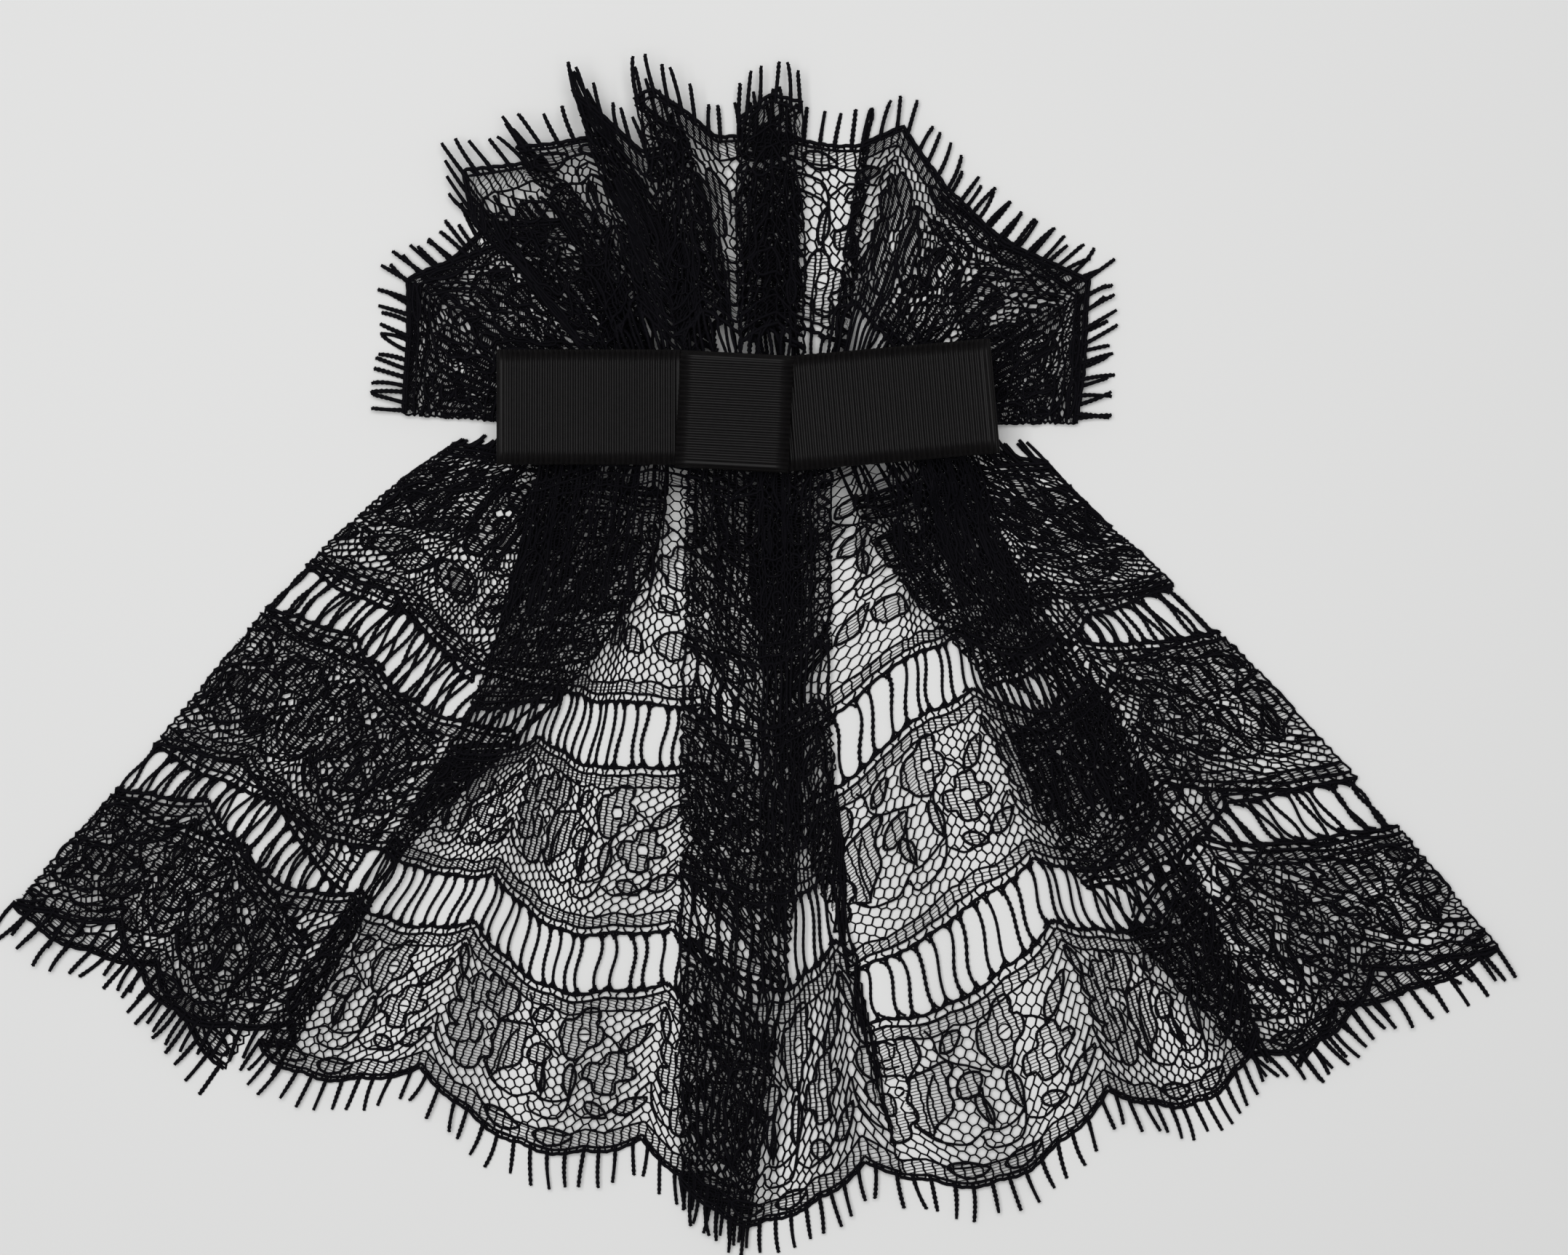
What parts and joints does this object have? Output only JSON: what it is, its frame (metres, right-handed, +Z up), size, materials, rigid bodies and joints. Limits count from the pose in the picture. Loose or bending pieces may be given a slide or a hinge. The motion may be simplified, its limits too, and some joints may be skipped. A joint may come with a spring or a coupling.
{
  "type": "lace head covering",
  "caption": "Flat lace head covering: a pleated scalloped lace skirt with eyelash edging and a fanned lace crest, joined under a flat grosgrain bow, on a hair clip.",
  "frame": {"origin": "middle of the underside of the hair clip, below the bow's knot, on the surface that the covering lies on", "axes": "+X along the clip and the bow, to the right in the picture; +Y from the skirt to the crest; +Z up off the surface"},
  "size_m": [0.3198, 0.259, 0.0168],
  "materials": {
    "lace": "matt black lace of fine synthetic thread",
    "ribbon": "black grosgrain ribbon with a soft sheen across its ribs",
    "clip": "black enamelled steel"
  },
  "bodies": {
    "root": {"hair_clip": "clip", "lace_skirt": "lace", "lace_crest": "lace", "bow_loop_left": "ribbon", "bow_loop_right": "ribbon", "bow_knot": "ribbon"}
  },
  "joints": []
}
